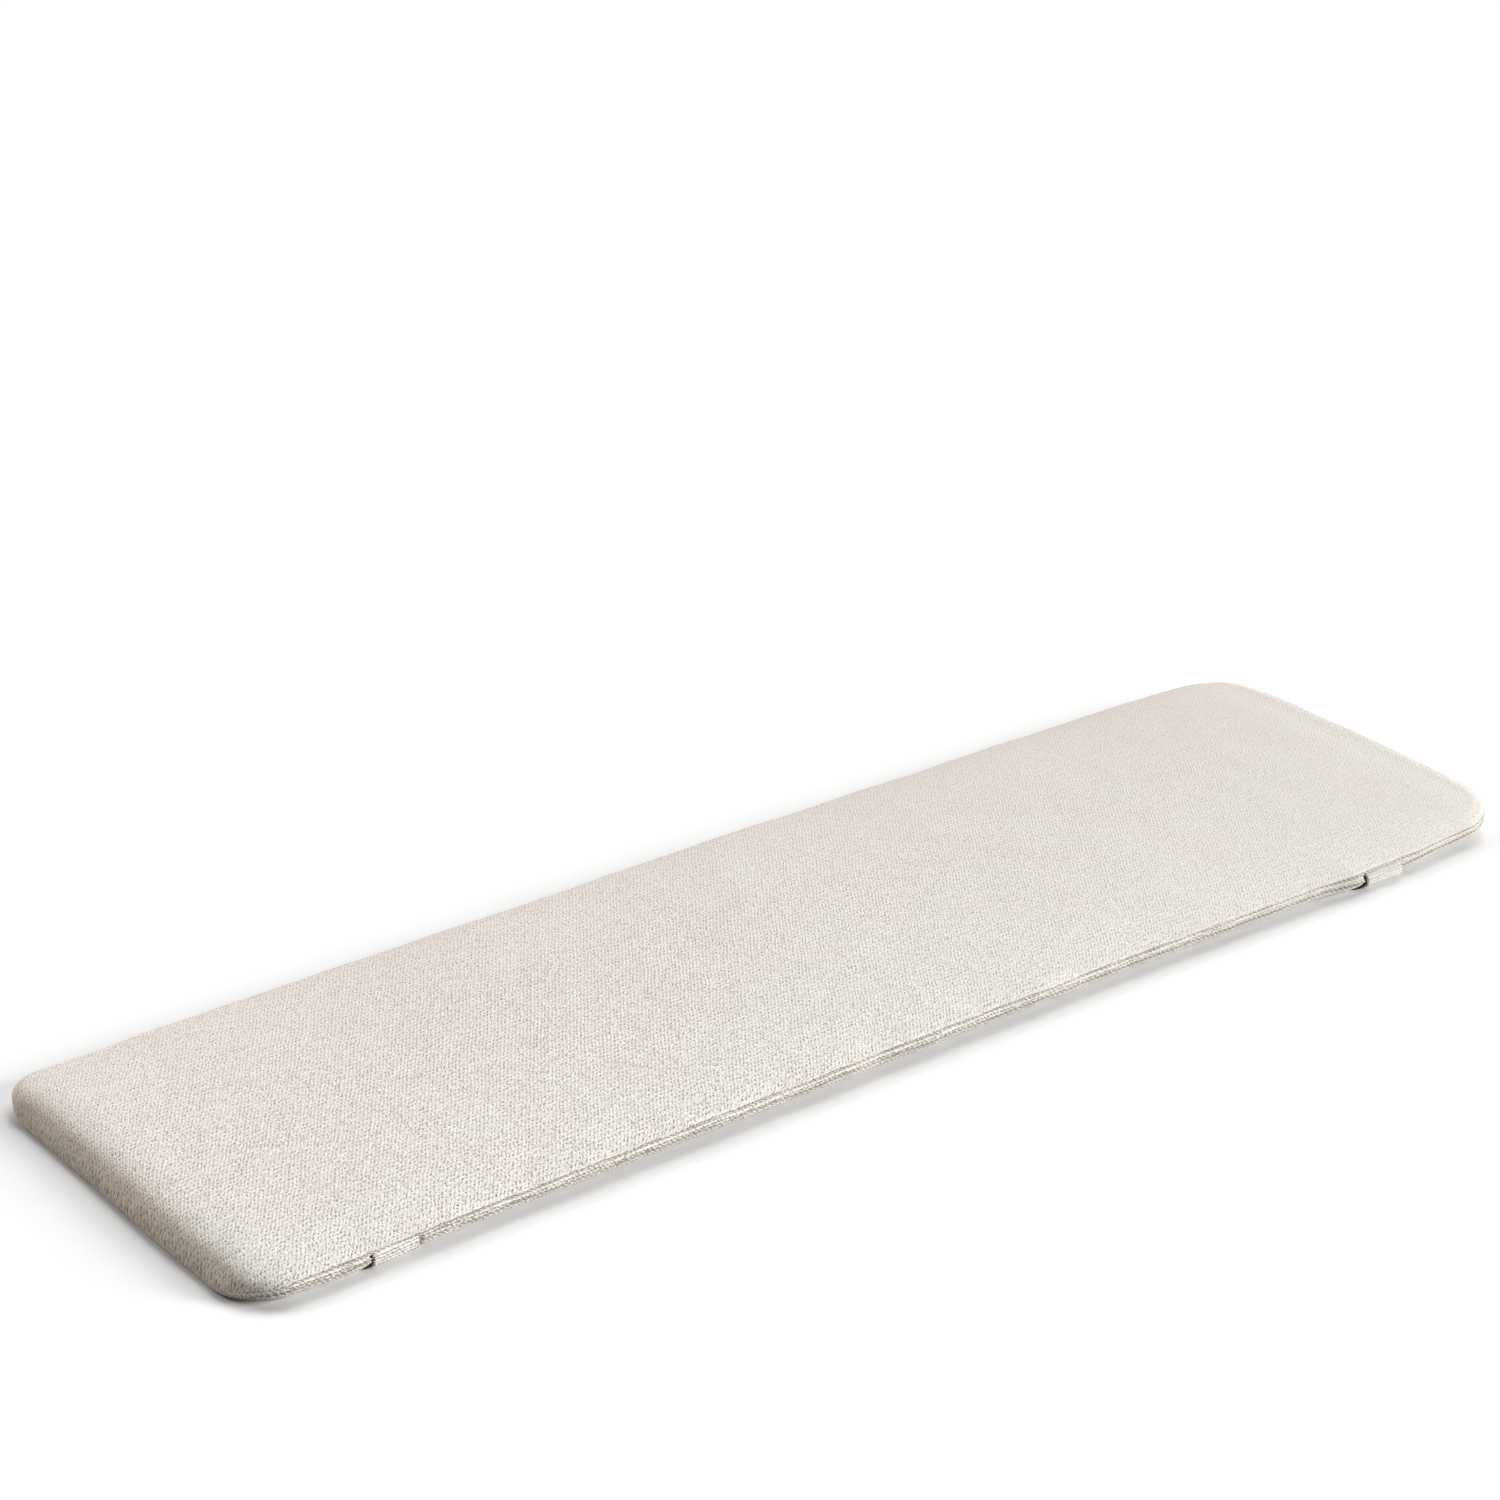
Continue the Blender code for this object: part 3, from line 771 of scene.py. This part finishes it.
def twisted_row_tree(finish):
    """A two-ply yarn along a closed path: an oval section that turns as it goes."""
    tree, add, given, path = new_tree("twisted yarn row", "Step", "Yarn Radius", "Turns")
    share = add("GeometryNodeSplineParameter").outputs["Factor"]
    turned = add(MATH, (share, given["Turns"]), "MULTIPLY")
    angle = add(MATH, (turned, 2 * math.pi), "MULTIPLY")
    path = add("GeometryNodeSetCurveTilt", {"Curve": path, "Tilt": angle})
    oval = add("GeometryNodeCurvePrimitiveCircle", {"Resolution": OVAL_SIDES, "Radius": given["Yarn Radius"]},
               mode="RADIUS")
    oval = add("GeometryNodeTransform", {"Geometry": oval, "Scale": (1.0, OVAL_WAIST, 1.0)})
    # how far out a point of the oval lies, from its waist between the plies to 1 on a ply's crown
    spot = add("GeometryNodeInputPosition")
    reach = add(VECTOR_MATH, (spot,), "LENGTH").outputs["Value"]
    crown = add(MATH, (reach, given["Yarn Radius"]), "DIVIDE")
    oval = add("GeometryNodeStoreNamedAttribute", {"Geometry": oval, "Name": "crown", "Value": crown},
               data_type="FLOAT", domain="POINT")
    yarn = add("GeometryNodeCurveToMesh", {"Curve": path, "Profile Curve": oval})
    end_tree(add, yarn, finish)
    return tree


def twisted_yarn(name, light, dark, plies=0.0):
    """Loosely spun two-ply yarn: pale fibres with fine flecks, painted darker where the plies meet, as shade
    in the crevice between them.
    """
    finish, add, shader = new_finish(name, Roughness=0.92, Specular_IOR_Level=0.25,
                                     Sheen_Weight=0.15, Sheen_Roughness=0.5)
    place = add("ShaderNodeTexCoord").outputs["Object"]
    fibre = add(NOISE, {"Vector": place, "Scale": 900.0, "Detail": 3.0})
    patch = add(NOISE, {"Vector": place, "Scale": 45.0, "Detail": 2.0})
    both = add(MATH, (patch, 0.7, fibre), "MULTIPLY_ADD")
    if plies:
        # Painted shade: the yarn is painted darker at the waist between the plies and paler on their crowns.
        crown = add("ShaderNodeAttribute", attribute_type="GEOMETRY", attribute_name="crown")
        between = add(RANGE, (crown.outputs["Fac"], 0.46, 0.90, -plies, 0.25 * plies))
        both = add(MATH, (both, between), "ADD")
    tone = add(RANGE, (both, 0.6, 1.1, 0.0, 1.0))
    colour = add("ShaderNodeMix", {0: tone, 6: srgb(dark), 7: srgb(light)}, data_type="RGBA")
    bump = add("ShaderNodeBump", {"Strength": 0.6, "Distance": 0.0002, "Height": fibre})
    give(shader, {"Base Color": colour.outputs[2], "Normal": bump})
    return finish


row_yarn = twisted_yarn("two_ply_linen_yarn", "#f2ece5", "#a1988f", plies=0.32)
row_tree = twisted_row_tree(row_yarn)
for name, row in YARN_ROWS.items():
    points = along_edge(row["place"], row["lift"], ROW_WANDER, row["seed"])
    length = sum((b - a).length for a, b in zip(points, points[1:] + points[:1]))
    yarn_row = grow(closed_path(name, points), row_tree, row_yarn, Yarn_Radius=row["radius"],
                    Turns=float(round(length / TWIST_PITCH)), Step=ROW_STEP)
    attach(yarn_row, "root")

# ---------------------------------------------------------------------------------------------
# The seam's stitches. A lockstitch of strong grey-beige polyester thread, each stitch 3 mm long,
# sunk in the groove where the two panels are sewn together.

STITCH_LENGTH, STITCH_GAP, THREAD_RADIUS = 0.0030, 0.0008, 0.00032
STITCH_LIFT, STITCH_UNEVENNESS, STITCH_SEED = 0.0002, 0.10, 17


def stitch_tree(finish):
    """A row of short thread stitches along a path, each one slightly turned by its own chance."""
    tree, add, given, path = new_tree("row of stitches", "Pitch", "Stitch Length", "Thread Radius",
                                      "Unevenness")
    tangent = add("GeometryNodeInputTangent")
    chance = add("FunctionNodeRandomValue", {0: (-1, -1, -1), 1: (1, 1, 1), "Seed": STITCH_SEED},
                 data_type="FLOAT_VECTOR")
    off = add(VECTOR_MATH, {0: chance, 3: given["Unevenness"]}, "SCALE")
    aimed = add(VECTOR_MATH, (tangent, off), "ADD")
    turn = add("FunctionNodeAlignRotationToVector", {"Vector": aimed}, axis="X")
    bead = add("GeometryNodeMeshUVSphere", {"Segments": 6, "Rings": 5, "Radius": 1.0})
    half = add(MATH, (given["Stitch Length"], 0.5), "MULTIPLY")
    size = add("ShaderNodeCombineXYZ", (half, given["Thread Radius"], given["Thread Radius"]))
    bead = add("GeometryNodeTransform", {"Geometry": bead, "Scale": size})
    laid = add("GeometryNodeInstanceOnPoints", {"Points": path, "Instance": bead, "Rotation": turn})
    end_tree(add, laid, finish)
    return tree


seam_thread = twisted_yarn("polyester_sewing_thread", "#b9aea8", "#857a75")
seam_path = closed_path("seam_stitches", along_edge(SEAM_AT, STITCH_LIFT))
seam_stitches = grow(seam_path, stitch_tree(seam_thread), seam_thread, Pitch=STITCH_LENGTH + STITCH_GAP,
                     Stitch_Length=STITCH_LENGTH, Thread_Radius=THREAD_RADIUS, Unevenness=STITCH_UNEVENNESS)
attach(seam_stitches, "root")

# ---------------------------------------------------------------------------------------------
# The fastening straps. Each is a strip of the cover's own cloth folded double, sewn into the seam of
# the near side. It turns down over the lower edge and lies folded back under the pad.

STRIP_STEP, STEPS_ACROSS = 0.0011, 16
# Past the strap's edge the tape droops from on top of the strap to the floor: where it begins past
# the edge and over what stretch, how low it lies, and below what height and over what drop.
DROOP_PAST, DROOP_REACH, DROOPED_TO, DROOP_BELOW, DROOP_DROP = 0.0004, 0.004, 0.0009, 0.0065, 0.003
# Limp waves of the part that shows: how deep, how far apart along X and upwards, above what height
# and over what rise, and how far under the pad they reach.
LIMP, LIMP_ALONG, LIMP_UP, LIMP_ABOVE, LIMP_RISE, LIMP_FROM = 0.0006, 0.012, 0.008, 0.0015, 0.003, -0.004


def strip(name, strap, width, thickness, inward=0.0, slips=False):
    """A strap or tape as a fine strip of cloth along its way, with the cloth laid flat as its map,
    and the length that it runs."""
    way = strap_way(strap, inward)
    places = []
    for index, (a, b) in enumerate(zip(way, way[1:])):
        count = max(1, round(math.hypot(b[0] - a[0], b[1] - a[1]) / STRIP_STEP))
        places += [index + k / count for k in range(count)]
    places.append(len(way) - 1)

    def spot(line, place):
        before = min(int(place), len(line) - 2)
        share = place - before
        (a_out, a_up), (b_out, b_up) = line[before], line[before + 1]
        return a_out + (b_out - a_out) * share, a_up + (b_up - a_up) * share

    runs = runs_along([spot(way, place) for place in places])
    ways = [strap_way(strap, inward, k / STEPS_ACROSS - 0.5) for k in range(STEPS_ACROSS + 1)]
    shape = bmesh.new()
    weave = shape.loops.layers.uv.new("weave")
    grid = []
    for place in places:
        line = []
        for k in range(STEPS_ACROSS + 1):
            out, up = spot(ways[k], place)
            x = strap["x"] + (k / STEPS_ACROSS - 0.5) * width
            if slips:
                x += tape_slipped(strap, up)
                free = zero_to_one((strap["x"] - STRAP_WIDTH / 2 - DROOP_PAST - x) / DROOP_REACH)
                up -= (up - DROOPED_TO) * free * zero_to_one((DROOP_BELOW - up) / DROOP_DROP)
            limp = noise.noise(Vector((x / LIMP_ALONG, up / LIMP_UP, 5.5 + strap["x"])))
            out += LIMP * limp * zero_to_one((up - LIMP_ABOVE) / LIMP_RISE) * (out > LIMP_FROM)
            line.append(shape.verts.new((x, -WIDTH / 2 - out, up)))
        grid.append(line)
    for j in range(len(grid) - 1):
        for k in range(STEPS_ACROSS):
            corners = ((j, k), (j, k + 1), (j + 1, k + 1), (j + 1, k))
            face = shape.faces.new([grid[a][b] for a, b in corners])
            for loop, (a, b) in zip(face.loops, corners):
                loop[weave].uv = (b / STEPS_ACROSS * width, runs[a])
    bmesh.ops.recalc_face_normals(shape, faces=shape.faces[:])
    mesh = bpy.data.meshes.new(name)
    shape.to_mesh(mesh)
    shape.free()
    piece = placed(name, mesh)
    cloth = piece.modifiers.new("Cloth thickness", "SOLIDIFY")
    cloth.thickness, cloth.offset, cloth.use_even_offset = thickness, 0.0, True
    soft_edge = piece.modifiers.new("Folded edge", "BEVEL")
    soft_edge.width, soft_edge.segments, soft_edge.limit_method = thickness * 0.42, 3, "ANGLE"
    return as_plain_mesh(piece), runs[-1]


for side, strap in STRAPS.items():
    piece, run = strip(f"strap_{side}_cloth", strap, STRAP_WIDTH, STRAP_THICKNESS)
    dress(piece, cover_cloth)
    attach(piece, "root")
    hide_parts(f"strap_{side}")

# ---------------------------------------------------------------------------------------------
# The dark tapes. A black woven polyester fastening tape is sewn inside each strap, against the pad,
# and its edge shows past the strap's left edge near the floor.

RIB_PITCH, THREAD_PITCH = 0.0009, 0.0006
TAPE_INWARD = STRAP_THICKNESS / 2 + LAYER_GAP + TAPE_THICKNESS / 2


def black_fastening_tape(name):
    """Narrow-woven black polyester tape: fine ribs 0.9 mm apart across it, slightly shiny yarns."""
    finish, add, shader = new_finish(name, Roughness=0.62, Specular_IOR_Level=0.4, Sheen_Weight=0.05)
    flat = add("ShaderNodeUVMap", uv_map="weave")
    parts = add("ShaderNodeSeparateXYZ", (flat,)).outputs
    rib = add(MATH, (parts[1], 2 * math.pi / RIB_PITCH), "MULTIPLY")
    rib = add(MATH, (rib,), "SINE")
    thread = add(MATH, (parts[0], 2 * math.pi / THREAD_PITCH), "MULTIPLY")
    thread = add(MATH, (thread,), "SINE")
    both = add(MATH, (thread, 0.45, rib), "MULTIPLY_ADD")
    tone = add(RANGE, (both, -1.4, 1.4, 0.0, 1.0))
    colour = add("ShaderNodeMix", {0: tone, 6: srgb("#1e1c1b"), 7: srgb("#3c3937")}, data_type="RGBA")
    bump = add("ShaderNodeBump", {"Strength": 0.7, "Distance": 0.0002, "Height": tone})
    give(shader, {"Base Color": colour.outputs[2], "Normal": bump})
    return finish


dark_tape = black_fastening_tape("black_polyester_tape")
for side, strap in STRAPS.items():
    piece, run = strip(f"tape_{side}_web", strap, TAPE_WIDTH, TAPE_THICKNESS, TAPE_INWARD, slips=True)
    dress(piece, dark_tape)
    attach(piece, "root")
    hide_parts(f"tape_{side}")

# ---------------------------------------------------------------------------------------------
# The studio: seamless white paper on the floor, four large soft lights, low at the front right and
# higher at the right and the back, none from the left, and the camera where the photographer stood.

PAPER_REACH = 24
corners = [(PAPER_REACH * x, PAPER_REACH * y, 0) for x, y in ((-1, -1), (1, -1), (1, 1), (-1, 1))]
floor_mesh = bpy.data.meshes.new("paper_floor")
floor_mesh.from_pydata(corners, [], [(0, 1, 2, 3)])
floor = placed("paper_floor", floor_mesh)
paper, add, shader = new_finish("white_seamless_paper", Roughness=0.95, Specular_IOR_Level=0.0)
place = add("ShaderNodeTexCoord").outputs["Object"]
grain = add(NOISE, {"Vector": place, "Scale": 90.0})
colour = add("ShaderNodeMix", {0: grain, 6: srgb("#f7f7f6"), 7: srgb("#f9f9f9")}, data_type="RGBA")
give(shader, {"Base Color": colour.outputs[2]})
floor_mesh.materials.append(paper)

STUDIO_LIGHTS = {
    "low_front_softbox": {"turn": -40, "height": 15, "strength": 4.30, "spread": 26},
    "back_right_softbox": {"turn": 50, "height": 45, "strength": 1.48, "spread": 34},
    "low_back_panel": {"turn": 110, "height": 30, "strength": 1.20, "spread": 26},
    "right_softbox": {"turn": 20, "height": 45, "strength": 1.08, "spread": 38},
}
for name, light in STUDIO_LIGHTS.items():
    data = bpy.data.lights.new(name, "SUN")
    data.energy = light["strength"]
    data.angle = math.radians(light["spread"])
    turn, height = math.radians(light["turn"]), math.radians(light["height"])
    towards = Vector((math.cos(height) * math.cos(turn), math.cos(height) * math.sin(turn), math.sin(height)))
    placed(name, data).rotation_euler = towards.to_track_quat("Z", "Y").to_euler()

world = bpy.data.worlds.new("pale_studio")
world.use_nodes = True
give(world.node_tree.nodes["Background"], {"Color": srgb("#ffffff"), "Strength": 1.0})
world.cycles_visibility.diffuse = False
world.cycles_visibility.glossy = False
bpy.context.scene.world = world
bpy.context.scene.view_settings.view_transform = "Standard"

CAMERA_TURN, CAMERA_DIP, CAMERA_LENS, SENSOR_WIDTH = -37.3531, 25.0501, 92.331, 36.0
camera_data = bpy.data.cameras.new("photo_camera")
camera_data.sensor_width, camera_data.lens = SENSOR_WIDTH, CAMERA_LENS
camera_data.clip_start, camera_data.clip_end = 0.05, 200.0
camera = placed("photo_camera", camera_data)
camera.location = (-1.6114, -2.0463, 1.3916)
camera.rotation_euler = (math.radians(90 - CAMERA_DIP), 0.0, math.radians(CAMERA_TURN))
bpy.context.scene.camera = camera
